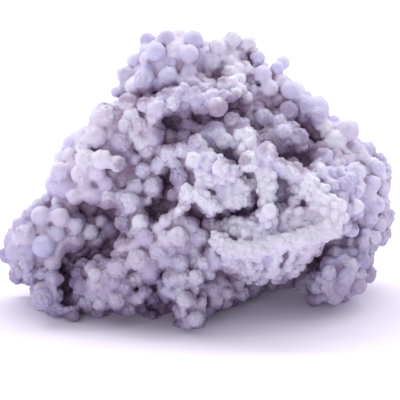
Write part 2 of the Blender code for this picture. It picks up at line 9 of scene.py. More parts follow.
import bmesh
import bpy
import numpy as np
import openvdb
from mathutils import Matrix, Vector


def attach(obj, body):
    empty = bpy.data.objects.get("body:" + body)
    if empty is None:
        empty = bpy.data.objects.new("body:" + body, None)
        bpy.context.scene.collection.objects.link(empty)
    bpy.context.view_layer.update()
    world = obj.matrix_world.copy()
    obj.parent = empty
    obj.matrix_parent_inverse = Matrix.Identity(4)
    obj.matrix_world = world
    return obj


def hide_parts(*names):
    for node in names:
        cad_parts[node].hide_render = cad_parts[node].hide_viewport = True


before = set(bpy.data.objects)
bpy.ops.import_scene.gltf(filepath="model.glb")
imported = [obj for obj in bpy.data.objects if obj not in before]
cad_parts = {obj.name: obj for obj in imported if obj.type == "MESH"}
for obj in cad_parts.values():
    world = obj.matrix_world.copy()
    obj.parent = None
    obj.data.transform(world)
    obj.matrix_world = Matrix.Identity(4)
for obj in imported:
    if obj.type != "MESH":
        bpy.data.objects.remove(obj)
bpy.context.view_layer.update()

MM = 0.001
VIEW_TILT = math.radians(16)
VIEW_DISTANCE = 400.0
VIEW_UP = 22.0
BASE_MIDDLE = np.array([-0.247, 9.634, 0])

# How the balls grow and how finely the stone is made
SEED = 11
RADIUS_SPREAD = 0.13
OUTER_SPACING = 1.12
OUTER_STAND = (0.15, 0.8)
OUTER_CLEARANCE = 0.8
INNER_SPACING = 0.74
INNER_STAND = (-0.35, 0.3)
INNER_CLEARANCE = 0.5
CRUST_RADIUS = 1.3
CRUST_STAND = (-0.35, 0.45)
SEEN_STAND = 0.7
SEEN_AHEAD = 0.5
SEEN_BEHIND = 25.0
SURFACE_SPOTS = 160000
SURFACE_MARGIN = 1
SURFACE_BAND = 2.0
SURFACE_STEPS = 4
SURFACE_ERROR = 0.05
OUTLINE_ROOM = 0.7
PIT_ROOM = 0.3
FAR_END_ROOM = 1.2
BELOW_GROUND = 0.5
CORE_STEP = 1.0
SIGHT_NEAR = 24.0
SIGHT_FAR = -34.0
SIGHT_STEP = 0.25
SLOPE_REACH = 0.5
BALL_MARGIN = 1.5
VOXEL = 0.45
TRIANGLES = 196000
LUMP_BLEND = 2.2
RIDGE_BLEND = 0.8
PIT_BLEND = 0.5
BALL_BLEND = 0.13
UNEVEN = ((11.0, 0.7), (6.5, 0.7))
UNEVEN_SEED_STEP = 10
PIT_UNEVEN = 0.45
PIT_UNEVEN_LENGTH = 3.5
PIT_SEED = SEED + 1
WAVE_COUNT = 6
CORE_INSET = 1.0
CELLS_BELOW_GROUND = 2.5
EMPTY_DISTANCE = 3.0
LOW_CORNER = np.array([-44.5, -24.5, -2.5])
HIGH_CORNER = np.array([44.5, 37.5, 57.5])

# The grain on the balls: wave length and size, and how near the surface it is worked out
GRAINS = ((1.5, 0.06), (0.95, 0.05))
GRAIN_BAND = 1.2
GRAIN_SEED = SEED + 5

# How full the space around a corner is, which the material turns into painted shade and, on crusts, into
# paleness: name, reach of the average, how far outside the corner
HOLLOW_SCALES = (("near_hollow", 0.9, 0.5), ("wide_hollow", 3.2, 2.0))

# Balls at least as large as SMOOTH_RADIUS are nearly bare, and those up to ROUGH_RADIUS are rough
SMOOTH_RADIUS = 1.95
ROUGH_RADIUS = 1.6

# Each ball has a tint and a paleness of its own, and the core between the balls has these
BALL_LOOKS_SEED = SEED + 3
CORE_TINT = 0
CORE_PALENESS = 0.5

# The beads: sizes in millimetres, heights as shares of the size, and depth as a share of the height
BEAD_COUNT = 9500
BEAD_SIZES = (0.5, 0.95)
BEAD_HEIGHTS = (0.65, 0.9)
BEAD_SINK = 0.6
BEAD_TILT = 0.1
BEAD_MISSHAPEN = 0.12
BEADS_ON_SMOOTH = 0.05
BEAD_SEED = SEED + 20

# Colours of the stone, with painted shade for its crevices and caves, and what multiplies them in caves as
# painted shade and on dark balls
BODY_COLOUR = (0.655, 0.62, 0.83)
PALE_COLOUR = (0.79, 0.765, 0.90)
COOL_COLOUR = (0.62, 0.61, 0.84)
WARM_COLOUR = (0.70, 0.64, 0.79)
# CREVICE_COLOUR is painted shade in the crevices between balls, with a warmer tint of the stone's own
CREVICE_COLOUR = (0.53, 0.41, 0.55)
# CAVE_COLOUR is painted shade in wide hollows, with a darker purple of the stone's own; CAVE_SHADE darkens
# the caves as painted shade
CAVE_COLOUR = (0.49, 0.38, 0.53)
CAVE_SHADE = (0.60, 0.52, 0.60)
DARK_BALL_SHADE = (0.80, 0.76, 0.86)

# Where each of them comes in: the value at which it starts, and the one at which it is full
COOL_TINTS = (0.1, 1.0)
WARM_TINTS = (-0.3, -1.0)
WARM_PATCHES = (0.42, 0.66)
PALE_BALLS = (0.78, 0.95)
DARK_BALLS = (0.35, 0.0)
# RAISED: where the crusts' pale colour is laid, on their open raised places, partly as a painted highlight
RAISED = (0.46, 0.26)
# NEAR_DARK: where the painted shade of the crevices comes in
NEAR_DARK = (0.40, 0.68)
# WIDE_DARK and CAVE_DARK: where the painted shade of hollows and caves comes in
WIDE_DARK = (0.36, 0.64)
CAVE_DARK = (1.0, -0.3)

# Painted shade near the floor: the stone's foot is darker than its top. Heights, and the share of the
# foot's shade colour at each
FOOT_DARK = (0.0, 0.024)
FOOT_SHARE = (0.75, 0.0)
FOOT_SHADE_COLOUR = (0.42, 0.36, 0.48)

# Noise in the stone: size in metres, detail, and how rough the noise is
PATCH_NOISE = (0.012, 2, 0.6)
GLOSS_NOISE = (0.002, 3, 0.6)
BUMP_NOISE = (0.0006, 4, 0.7)
BUMP_STRENGTH = 0.7
BUMP_DEPTH = 0.0002
ROUGHNESS = (0.35, 0.65)

# Light scattered under the surface of the stone and of its beads
STONE_SCATTERING = 0.3
BEAD_SCATTERING = 0.0
SCATTERING_REACH = (1.0, 0.8, 1.1)
SCATTERING_DEPTH = 0.0016

# The ground, in metres
FLOOR_HALF = 3.0
FLOOR_COLOUR = (0.93, 0.88, 1.0, 1)
FLOOR_ROUGHNESS = 0.9
FLOOR_SHINE = 0.1

# The camera: the picture's width at the stone in millimetres, and how near and far it sees in metres
SENSOR = 36.0
PICTURE_WIDTH = 80.0
CAMERA_RANGE = (0.01, 20)

# The soft light round the stone: how it rises towards the back and top, how much more comes from the
# sides, and the least that comes from anywhere
SKY_COLOUR = (1.0, 1.0, 1.0, 1)
SKY_RISE = (0, 0.34, 0.62)
SKY_SIDES = 0.4
SKY_LEAST = 0.2

# Lamps: name, place, width and height, power
LIGHT_AIM = (0, 0, 0.02)
LIGHTS = (
    ("key", (0, 0.74, 1.3), (1.8, 0.3), 13),
    ("left_light", (-0.95, 0.42, 0.8), (0.9, 0.9), 5.4),
    ("right_light", (0.95, 0.42, 0.8), (0.9, 0.9), 5.4),
    ("front_fill", (-0.25, -1.0, 0.22), (0.6, 0.4), 3.8),
)

# Rounded masses of the core: middle, half sizes, radius of the balls that grow on it
LUMPS = {
    "middle": ((0, 17, -4), (22, 13, 14), 1.75),
    "base": ((-8, 5, -2), (17, 7, 13), 1.7),
    "belly": ((-7, 12, 3), (12, 10, 9), 1.7),
    "upper_middle": ((-1, 31, -4), (14, 11, 10), 1.75),
    "neck": ((-3, 40, -6), (13, 8.5, 8), 1.75),
    "crown": ((-5.6, 48.6, -7), (7.2, 5.6, 6.5), 2.0),
    "crown_right": ((6, 47.4, -9), (6, 5.8, 5.5), 1.8),
    "left_shoulder": ((-18.5, 33.4, -4), (8, 6.5, 8), 2.1),
    "shoulder_side": ((-14, 37, -1), (5, 4, 6), 1.6),
    "left_slope": ((-22, 25, -4), (7.5, 7.5, 9), 1.9),
    "left_paw": ((-29.6, 14.6, -2), (8.6, 6.2, 8), 1.9),
    "paw_underside": ((-32, 9.4, -3), (6.6, 4.4, 6), 1.7),
    "left_foot": ((-26, 3, 2), (6, 4.6, 6.5), 1.6),
    "lower_left": ((-17, 5, 5), (7, 6, 6.5), 1.5),
    "centre_foot": ((-3, 2.5, 9), (3.5, 6, 5), 1.5),
    "right_mass": ((18.5, 28, -7), (12.5, 12.5, 11), 1.7),
    "right_wall": ((30.5, 21, -8), (6.5, 12, 10), 1.8),
    "right_foot": ((27, 7, -3), (5.6, 5.6, 7.5), 1.6),
    "hood_mass": ((25, 22, 4), (6, 7, 7), 1.5),
    "curtain_mass": ((7.4, 22.6, 8), (3.2, 3.8, 5), 1.1),
    "ledge": ((15, 13.5, 8), (10, 3.2, 9), 1.1),
    "ledge_skirt": ((11.6, 10.4, 8), (8.8, 3.7, 8.2), 1.2),
    "ledge_root": ((1.6, 10, 10), (3, 3, 4), 1.3),
    "dish": ((14, 16, 9.5), (9.5, 2.4, 6), 1.0),
    "roof_back": ((12.4, 41.6, -8.6), (4.4, 4.4, 4.6), 1.8),
    "back_core": ((0, 20, -12), (22, 15, 8), 1.9),
    "back_low_left": ((-18, 11, -14), (9.5, 8, 8), 1.9),
    "back_low_middle": ((-2, 12.5, -19), (9, 8, 7), 1.7),
    "back_low_right": ((16, 12, -15), (10, 8, 8), 1.9),
    "back_left": ((-15, 25, -13), (9, 8, 7), 2.1),
    "back_middle": ((4, 27, -18), (10, 7.5, 8), 1.8),
    "back_right": ((20, 24, -15), (8, 8, 7), 2.0),
    "back_top": ((-3, 38, -14), (9, 8, 7), 1.9),
}

# Ledges, walls and branches: points along the middle, half thickness, radius of the balls that grow on it
RIDGES = {
    "shelf": (((-14, 40, 2), (-9, 41.4, 6), (-3.6, 43, 7.5), (1.5, 42, 8.5), (5.6, 42, 8)), 1.3, 1.5),
    "white_column": (((5.4, 51.6, -6), (6.8, 47.6, -3), (6.8, 44, 1), (8.8, 40, 5)), 1.8, 1.1),
    "roof": (
        ((12.6, 46.6, -8), (17.4, 43, -7), (22.6, 38.6, -6), (27.4, 34, -5), (30.6, 31, -5)), 2.6, 2.4,
    ),
    "centre_ridge": (
        ((9.4, 35, 10), (10, 32, 11.5), (14, 30, 13), (18.4, 27.4, 13), (20.4, 26, 13)), 1.9, 1.0,
    ),
    "centre_root": (((9, 33, 2), (9.6, 32.4, 8)), 2.2, 1.2),
    "pillar": (((12.8, 29, 13.5), (13.4, 24.6, 14.6), (12.8, 21.4, 15), (13.8, 17.8, 15.6)), 1.9, 0.9),
    "peak": (((9.8, 34.2, 12.8), (10.6, 31.6, 13.4)), 1.3, 0.8),
    "peak_tip": (((9.5, 36.2, 12.6), (9.9, 34, 13.4)), 0.7, 0.7),
    "pleat_1": (((3.6, 25.4, 11.6), (4.4, 20.8, 12.4)), 0.9, 0.7),
    "pleat_2": (((5.8, 25, 12.2), (6.4, 19.8, 12.8)), 1.0, 0.7),
    "pleat_3": (((8.2, 25.4, 12.4), (8, 20.2, 13.2)), 0.9, 0.7),
    "pleat_4": (((10, 24.6, 12.2), (9.6, 20.8, 12.8)), 0.9, 0.7),
    "hood": (((20, 26, 13), (23.4, 22.6, 14), (26.4, 19.4, 14.5), (26, 16.6, 15)), 2.4, 1.0),
    "hood_root": (((20, 26, 13), (22, 24, 6)), 2.0, 1.4),
    "lip": (
        ((3.6, 13.6, 15), (6, 12.2, 17), (10, 11.8, 18), (15, 13, 18), (20, 14.2, 17.5), (25.6, 16.2, 15)),
        1.8, 0.8,
    ),
    "arch": (((-5, 20, 12), (-2.4, 23.2, 13.5), (0, 23, 14), (3.2, 19.8, 13.5)), 1.5, 0.9),
    "branch": (((0, 32.6, 9), (0.6, 30, 12), (5, 28.4, 13), (6.6, 27.6, 13), (1, 25.6, 12.5)), 1.6, 1.0),
    "branch_root": (((2, 28, 12), (2, 27, 4)), 2.0, 1.3),
    "left_chain": (((-22.4, 32, 3), (-21.6, 30.2, 5), (-19, 30, 6), (-17, 29.2, 6.5)), 1.3, 1.7),
    "curtain": (((30.4, 31, -3), (32.6, 24, -1), (33, 16, -1), (31.6, 8, 0)), 1.6, 1.4),
    "outer_curtain": (((35, 31, -9), (36.8, 24, -8), (37, 17.6, -8), (35.6, 14, -8)), 1.4, 1.5),
    "front_column": (((-2, 7, 13), (-3.8, 2.4, 14), (-3.4, -2.4, 13.6)), 1.1, 1.2),
    "second_column": (((-1.4, 5, 13.5), (-1, -1.6, 13.5)), 1.0, 1.2),
    "back_ledge": (((-20, 17, -20), (-8, 20, -24), (4, 18.5, -26), (14, 20, -23)), 1.6, 1.5),
    "back_spur": (((9, 36, -20), (15, 31, -23), (20, 25, -22)), 1.7, 1.6),
    "back_column": (((-8, 41, -18), (-11, 33, -20), (-8, 27, -22)), 1.6, 1.5),
    "back_foot": (((6, 14, -25), (10, 9, -24), (9, 5, -22)), 1.5, 1.6),
    "flute_1": (((5, 12, 16.5), (6.6, 8, 13)), 1.1, 0.8),
    "flute_2": (((9, 11.4, 18), (10.4, 7.2, 14.4)), 0.9, 0.8),
    "flute_3": (((11.6, 11.8, 18.4), (12.2, 9.2, 16)), 0.8, 0.8),
    "flute_4": (((15.8, 12.8, 18.2), (14.4, 7.2, 15)), 1.1, 0.8),
    "flute_5": (((19.6, 13.8, 17.4), (17.4, 8.6, 14.4)), 0.8, 0.8),
    "flute_6": (((23.8, 15.2, 15.6), (21.2, 10.4, 12.8)), 1.2, 0.9),
    "hood_wall": (((17.4, 19.4, 11.5), (20, 18.4, 13), (23.4, 18, 13.4)), 2.0, 1.35),
}

# Caves and clefts, open towards the eye: right and up of points along the middle, half width, far end
PITS = {
    "under_shelf": (((-6.4, 37), (-2, 37.8), (3, 38.6), (7.6, 41)), 1.9, -3),
    "below_shelf": (((-7, 34.6), (-2, 35)), 1.6, 0),
    "under_crown": (((-15.6, 42.8), (-11.4, 42.4), (-5.6, 45)), 0.7, -8),
    "crown_hole": (((0.2, 48.6), (0.2, 47.2)), 0.7, -9),
    "beside_column": (((2.8, 46.2), (4.6, 46)), 0.7, -8),
    "crown_hollow": (((8.6, 50.8), (9.2, 50.2)), 0.7, -7),
    "under_roof": (((12.6, 41.6), (15.6, 40.8), (19, 40)), 1.3, -3.5),
    "right_hollow": (((19.8, 37.4), (22, 35), (23.6, 32.4)), 1.9, -5),
    "right_cleft": (((16.4, 31.8), (19.4, 30.6), (21, 29.4)), 1.7, -1),
    "peak_cleft": (((12.6, 38.2), (12.6, 36.2), (12.5, 32.4)), 1.1, 1),
    "peak_hollow": (((8.4, 37.4), (10.8, 37.4)), 0.8, 2),
    "branch_hole": (((5.6, 30.6), (8.4, 30.2)), 0.9, 4),
    "middle_slit": (((3.6, 18.6), (10.4, 19.8)), 0.8, 4),
    "pillar_left": (((11.2, 23), (11, 20)), 0.7, 5),
    "pillar_right": (((17, 25), (16.8, 21.6)), 1.0, 7),
    "hood_pocket": (((17.8, 24.6), (18.4, 22.8)), 0.6, 8),
    "arch_hole": (((-1.6, 19.2), (0.4, 17.8)), 1.5, 4),
    "upper_left_cave": (((-6.8, 26), (-6.2, 23.6)), 1.7, 0),
    "left_middle_cave": (((-9.4, 19.4), (-8, 20.4), (-6, 22)), 1.9, 0),
    "paw_cleft": (((-17.4, 20.2), (-17, 15.4), (-18.6, 11.8)), 1.9, -1),
    "paw_top_cave": (((-24, 20.2), (-17.4, 20.2)), 1.6, -2),
    "paw_under_cave": (((-26, 11.6), (-21, 10.6)), 1.6, 0),
    "left_low_cave": (((-27, 7), (-26.4, 2.4)), 1.8, 0),
    "left_side_cave": (((-24.6, 8.6), (-23.6, 4.4)), 1.0, 2),
    "belly_hole": (((-7.4, 7.6), (-6.6, 7.2)), 1.0, 4),
    "foot_cave": (((-9.6, 1.6), (-6.4, 0.6)), 1.8, 2),
    "foot_gap": (((-13.6, 4.4), (-9, 4.8)), 0.7, 5),
    "middle_gap": (((-2.6, 3.4), (-0.6, 2.6)), 0.6, 7),
    "base_recess": (((-24, -2.4), (-14, -2.4), (-6.6, -2.6)), 2.9, 3),
    "small_left_hole": (((-15, 14.8), (-14.6, 14.2)), 0.6, 2),
    "small_middle_hole": (((0.4, 12.2), (0.8, 11.8)), 0.7, 7),
    "under_lip_hole": (((3.6, 7), (7, 6.8)), 0.9, 6),
    "right_cave": (((24.6, 11), (22.6, 8.4)), 1.5, -8),
    "right_small_hole": (((31, 17.7), (31, 17.2)), 0.6, -5),
    "shoulder_hole": (((-15.8, 29.2), (-15.6, 28.6)), 0.5, 0),
    "undercut": (((6.4, -4), (12, -1.8), (17.6, 0.4)), 5.3, -9),
}

# Hollows of the back and sides: points along the middle, half width
HOLLOWS = {
    "back_cave": (((-9, 15, -28), (-7, 16, -18)), 2.6),
    "back_cleft": (((-3, 31, -28), (-4, 32, -17)), 2.0),
    "back_right_cave": (((14, 18, -28), (12, 18, -19)), 2.2),
    "back_left_hollow": (((-23, 19, -24), (-19, 19, -14)), 2.2),
    "back_low_hollow": (((24, 13, -26), (22, 14, -18)), 2.0),
    "crown_back_hollow": (((2, 44, -20), (1, 44, -12)), 1.8),
    "right_side_hollow": (((40, 22, -16), (33, 22, -14)), 1.8),
    "left_side_hollow": (((-34, 24, -10), (-26, 22, -12)), 2.2),
}

# The outline seen from the front: right, up
OUTLINE = (
    (-29, 30), (-29.6, 27), (-33.2, 22.6), (-37, 17.6), (-39.6, 12.8), (-39.8, 11), (-38.4, 8.4),
    (-38, 5.6), (-34.6, 4.8), (-33.4, 3.4), (-33.4, -0.4), (-30, -0.8), (-27.6, -2), (-20, -2.6),
    (-10, -3.4), (-5, -3.6), (-3, -4.4), (0, -3.8), (2.4, -0.4), (5, 0.4), (8, 1.4), (10.4, 2.8),
    (13, 3.6), (17, 4.4), (20, 3.6), (22, 1), (25, 0.4), (29, 1.6), (32.2, 4.4), (35, 6), (35.6, 8.4),
    (34.4, 11), (35, 12.4), (38, 14), (39.4, 17.6), (38, 21), (37.4, 23.6), (39.6, 27.6), (38, 30),
    (36, 32.4), (31.6, 34.4), (30.6, 36.2), (29.8, 37.8), (26.4, 38.6), (25.2, 41.6), (21, 44.8),
    (18, 47.4), (16.8, 50.4), (14.8, 50.4), (12.8, 49.4), (11.4, 51.6), (9, 54.4), (4.4, 54.8),
    (2.8, 53.2), (0, 55.2), (-4.4, 55.8), (-8, 55.2), (-11.4, 53.6), (-13, 51.6), (-13.4, 49),
    (-16.2, 46), (-18.8, 41.4), (-20.6, 41.2), (-22.6, 36.4), (-26, 34.6), (-28.4, 32.2), (-29, 30),
)

# Balls that stand out at the front: right, up, radius
SEEN_BALLS = {
    "crown": (
        (-10, 53, 1.6), (-6.4, 53.4, 1.8), (-2, 53, 2), (-8.4, 50.8, 2), (-12, 49.6, 1.6),
        (-2.6, 50.6, 2), (-10, 47.8, 1.6), (-6.4, 47.2, 2), (-5.6, 49.2, 0.9), (-2.6, 47.4, 1.8),
        (-10.6, 45.2, 2.2), (-14.2, 46, 1.8), (-16, 43.4, 1.2), (1, 51.4, 1.6), (3, 49, 2),
        (4.4, 52, 1.8), (6, 53, 1.7), (9, 52, 2), (11, 49.6, 1.6),
    ),
    "shelf": (
        (-13.8, 40.8, 1.9), (-13.8, 38.2, 1.6), (-8.4, 41, 2), (-6.4, 40, 1.5), (-10, 38.2, 1.9),
        (-3.6, 45, 1.4), (-4, 43.2, 1), (-1.4, 44.2, 1.9), (1.2, 43.4, 1.7), (3.2, 41.4, 2),
        (5.6, 44.6, 1.5), (5.6, 42.6, 1), (-3.2, 41.2, 1.8), (-4.8, 39, 1.5),
    ),
    "below_shelf": (
        (-2, 35.4, 1.9), (-6, 34.2, 1.8), (-3, 33.4, 1.6), (-9.4, 35.4, 1.9), (-12.4, 37, 1.4),
        (-12, 34.4, 1.8), (-15, 36.8, 1.4), (-15.8, 34.4, 2.1), (-18.8, 37.4, 2.3), (-20.4, 34.8, 2.3),
        (-22.4, 32.4, 1.7), (-22, 30.2, 2.1), (-19.2, 30, 2), (-16.8, 29.2, 1.7), (-10, 31.6, 1.7),
        (-12.6, 30.2, 1.4), (-10.6, 27.6, 1.7), (-13.6, 27, 1.2), (-7.6, 28.8, 1.9), (-5.6, 31.4, 1.8),
        (-3, 32, 1.6), (-4.4, 29, 1.4), (-0.4, 33, 1.4), (-0.4, 30, 1.6),
    ),
    "upper_right": (
        (14, 44, 2), (15, 47.6, 1.4), (16, 48.6, 1.5), (12.6, 46.8, 1.9), (18, 43.4, 2), (13.6, 38, 1.9),
        (17, 38.6, 2), (21.2, 38.4, 1.6), (19.4, 34, 1.8), (17, 35.4, 1.6), (15.8, 33.2, 1.5),
        (11.6, 40.8, 1.2), (9.2, 42.6, 1.5), (10, 38.4, 1.6), (6.4, 37.6, 1.6), (7.6, 33, 1),
        (4.4, 33.4, 1.8), (4.4, 28.4, 1.7),
    ),
    "right": (
        (11, 30, 2.1), (13.6, 30.8, 1.9), (19, 27.6, 1.4), (24, 30, 2), (25.6, 31.4, 1.8), (27, 29, 1.3),
        (29.2, 28.8, 1.6), (23.8, 26.8, 1.8), (30.4, 26.4, 2), (28, 24, 2), (30.6, 20.4, 1.4),
        (29, 18, 1.2), (27.4, 13.6, 1.8), (28.8, 35, 2.3),
    ),
    "left": (
        (-27, 27, 2), (-23.6, 26.6, 2), (-20.8, 26.8, 2), (-19, 25.2, 1.6), (-28, 24.2, 1.3),
        (-27.4, 22.2, 1.6), (-24.4, 23, 1.6), (-21.6, 23.2, 1.8), (-21.6, 21, 1.6), (-26, 19.4, 1.9),
        (-31.6, 17.6, 2.1), (-28, 17.8, 2), (-25.4, 16.6, 1.6), (-23, 15.4, 1.8), (-34, 15, 2.1),
        (-31, 13.2, 2.3), (-37.6, 10.8, 1.6), (-29.6, 10.6, 1.8), (-34, 10, 1.6), (-31.4, 7.8, 1.4),
        (-29, 5.4, 1.4), (-30.4, 2.8, 2.2), (-26.6, 8.8, 0.8), (-23.4, 7.4, 1.4), (-20, 9.2, 1.2),
        (-20.4, 6.8, 1.4), (-16.4, 7.8, 2.2), (-19.6, 4.8, 0.9), (-22.4, 4.6, 1.7), (-23, 2, 1.4),
        (-21.4, 1.4, 1.2), (-16.8, 2.6, 1.6), (-17, 5.2, 1.2), (-17.8, 11.2, 1.6), (-20, 11, 1.4),
        (-17.4, 16.2, 2.1), (-14.6, 17.2, 1.6), (-15, 12.8, 1.4), (-14.4, 1, 1.4), (-11.4, 3.4, 1.4),
        (-9.2, 3.4, 1.4), (-9.4, -1.4, 1.6), (-25.6, -0.2, 1.3),
    ),
    "centre": (
        (-15.6, 24.2, 2), (-12.8, 23.4, 1.8), (-13.4, 20.6, 2.3), (-11, 21.4, 1), (-9, 24, 2),
        (-4, 26, 1.9), (-4.4, 23.2, 1.4), (-11.4, 17, 1.8), (-10.8, 14, 1.8), (-6.6, 17.4, 1.4),
        (-4.4, 14.6, 2), (-0.6, 14.6, 1.9), (-12.6, 11, 2.1), (-8, 12, 1.8), (-10, 7.6, 2.3),
        (-4, 9.6, 1.8), (-5, 5.8, 1.7), (-1.4, 6, 1.5), (1, 9.6, 1.3), (-3.4, 2, 1.7), (-3.4, -2.4, 1.4),
        (-1, -1.4, 1.5), (3, 2.6, 1.5), (1.4, 1, 1.5), (5, 3.8, 1.2), (4.6, 2, 1.2), (10, 5.6, 1.9),
        (8, 3.8, 1.5), (14.4, 5.6, 1.4), (17.4, 6.2, 1.5), (13.6, 19.6, 1.5),
    ),
    "lower_right": (
        (21, 6.6, 1.4), (23.6, 2.8, 1.5), (28.4, 9.8, 1.2), (26, 7.4, 1.6), (28.8, 6.6, 1.7),
        (30.8, 5.4, 1.6), (31.6, 9.4, 1.7), (27, 3.6, 1.6),
    ),
}


def seen(points):
    """Points of the upright frame as (right, up, near)."""
    cos, sin = math.cos(VIEW_TILT), math.sin(VIEW_TILT)
    x, y, z = np.moveaxis(points, -1, 0)
    near = z * sin - y * cos
    scale = VIEW_DISTANCE / (VIEW_DISTANCE - near)
    return np.stack([x * scale, VIEW_UP + (y * sin + z * cos - VIEW_UP) * scale, near], -1)


def upright(places):
    """(right, up, near) as points of the upright frame."""
    cos, sin = math.cos(VIEW_TILT), math.sin(VIEW_TILT)
    right, up, near = np.moveaxis(np.asarray(places, float), -1, 0)
    scale = (VIEW_DISTANCE - near) / VIEW_DISTANCE
    up = VIEW_UP + (up - VIEW_UP) * scale
    return np.stack([right * scale, up * sin - near * cos, up * cos + near * sin], -1)


def smooth_min(a, b, blend):
    """The smaller of two distances, rounded where they meet."""
    h = np.maximum(blend - np.abs(a - b), 0) / blend
    return np.minimum(a, b) - h * h * blend / 4


def lump_distance(places, middle, half_sizes):
    """Distance to an ellipsoid, close to exact near its surface."""
    half_sizes = np.array(half_sizes, float)
    offset = (places - np.array(middle, float)) / half_sizes
    reach = np.linalg.norm(offset, axis=-1)
    slope = np.linalg.norm(offset / half_sizes, axis=-1)
    return reach * (reach - 1) / np.maximum(slope, 1e-9)


def path_distance(places, path):
    """Distance to a path, in as many directions as its points have."""
    best = np.full(places.shape[:-1], np.inf)
    for start, end in zip(path, path[1:]):
        start, along = np.array(start, float), np.subtract(end, start).astype(float)
        share = np.clip((places - start) @ along / (along @ along), 0, 1)
        best = np.minimum(best, np.linalg.norm(places - start - share[..., None] * along, axis=-1))
    return best


def waves(places, length, seed):
    """A smooth uneven field, mostly from -1 to 1, with waves of about this length."""
    rng = np.random.default_rng(seed)
    total = np.zeros(places.shape[:-1])
    for _ in range(WAVE_COUNT):
        heading = rng.normal(size=3)
        heading *= 2 * math.pi / length / np.linalg.norm(heading)
        total += np.sin(places @ heading + rng.uniform(0, 2 * math.pi))
    return 2 * total / WAVE_COUNT


def outline_distance(places):
    """Distance from the outline, below zero inside it."""
    right, up = places[..., 0], places[..., 1]
    inside = np.zeros(places.shape[:-1], bool)
    for (right_a, up_a), (right_b, up_b) in zip(OUTLINE, OUTLINE[1:]):
        if up_a != up_b:
            crossing = right_a + (up - up_a) * (right_b - right_a) / (up_b - up_a)
            inside ^= ((up_a > up) != (up_b > up)) & (right < crossing)
    return np.where(inside, -1, 1) * path_distance(places[..., :2], OUTLINE)


def pit_distance(places):
    """Distance into the nearest pit's opening, below zero inside a pit."""
    nearest = np.full(places.shape[:-1], np.inf)
    for path, half_width, far_end in PITS.values():
        across = path_distance(places[..., :2], path) - half_width
        nearest = np.minimum(nearest, np.maximum(across, far_end - places[..., 2]))
    return nearest + PIT_UNEVEN * waves(places, PIT_UNEVEN_LENGTH, PIT_SEED)


def core_grid():
    """Distance to the core, and the radius of the balls that grow nearby, on a coarse grid."""
    counts = np.ceil((HIGH_CORNER - LOW_CORNER) / CORE_STEP).astype(int) + 1
    axes = [LOW_CORNER[i] + CORE_STEP * np.arange(counts[i]) for i in range(3)]
    places = seen(np.stack(np.meshgrid(*axes, indexing="ij"), -1))
    distance = np.full(places.shape[:-1], np.inf)
    nearest = distance.copy()
    ball = distance.copy()
    for middle, half_sizes, radius in LUMPS.values():
        lump = lump_distance(places, middle, half_sizes)
        distance = smooth_min(distance, lump, LUMP_BLEND)
        ball = np.where(lump < nearest, radius, ball)
        nearest = np.minimum(nearest, lump)
    for number, (length, size) in enumerate(UNEVEN):
        distance = distance + size * waves(places, length, SEED + UNEVEN_SEED_STEP * number)
    for path, half_width, radius in RIDGES.values():
        ridge = path_distance(places, path) - half_width
        distance = smooth_min(distance, ridge, RIDGE_BLEND)
        ball = np.where(ridge < nearest, radius, ball)
        nearest = np.minimum(nearest, ridge)
    for path, half_width in HOLLOWS.values():
        distance = -smooth_min(-distance, path_distance(places, path) - half_width, PIT_BLEND)
    distance = -smooth_min(-distance, pit_distance(places), PIT_BLEND)
    return np.maximum(distance, outline_distance(places) + CORE_INSET), ball


def at_points(grid, points, low=LOW_CORNER, step=CORE_STEP):
    """The grid's value at points, blended between its eight neighbours."""
    spot = np.clip((points - low) / step, 0, np.array(grid.shape) - 1.001)
    corner = spot.astype(int)
    part = spot - corner
    total = np.zeros(len(points))
    for side in np.ndindex(2, 2, 2):
        weight = np.prod(np.where(side, part, 1 - part), -1)
        total += weight * grid[tuple((corner + side).T)]
    return total


def outward_at(grid, points):
    """Unit direction away from the core at points."""
    steps = SLOPE_REACH * np.eye(3)
    slope = np.stack([at_points(grid, points + a) - at_points(grid, points - a) for a in steps], -1)
    return slope / np.maximum(np.linalg.norm(slope, axis=-1, keepdims=True), 1e-9)


def seen_balls(core):
    """Middles and radii of the balls placed one by one, each resting on what the eye sees behind it."""
    rows = np.array([row for group in SEEN_BALLS.values() for row in group], float)
    near = np.arange(SIGHT_NEAR, SIGHT_FAR, -SIGHT_STEP)
    middles = []
    for right, up, radius in rows:
        line = upright(np.stack([np.full(len(near), right), np.full(len(near), up), near], -1))
        gap = at_points(core, line)
        hits = np.flatnonzero(gap < 0)
        first = hits[0] if len(hits) else np.argmin(gap)
        middles.append(line[first] + outward_at(core, line[first:first + 1])[0] * radius * SEEN_STAND)
    return np.array(middles), rows[:, 2]


def surface_spots(core, count, rng):
    """Spots spread over the core's surface."""
    spots = rng.uniform(LOW_CORNER + SURFACE_MARGIN, HIGH_CORNER - SURFACE_MARGIN, (count, 3))
    spots = spots[np.abs(at_points(core, spots)) < SURFACE_BAND]
    for _ in range(SURFACE_STEPS):
        spots = spots - at_points(core, spots)[:, None] * outward_at(core, spots)
    return spots[(np.abs(at_points(core, spots)) < SURFACE_ERROR) & (spots[:, 2] > -BELOW_GROUND)]


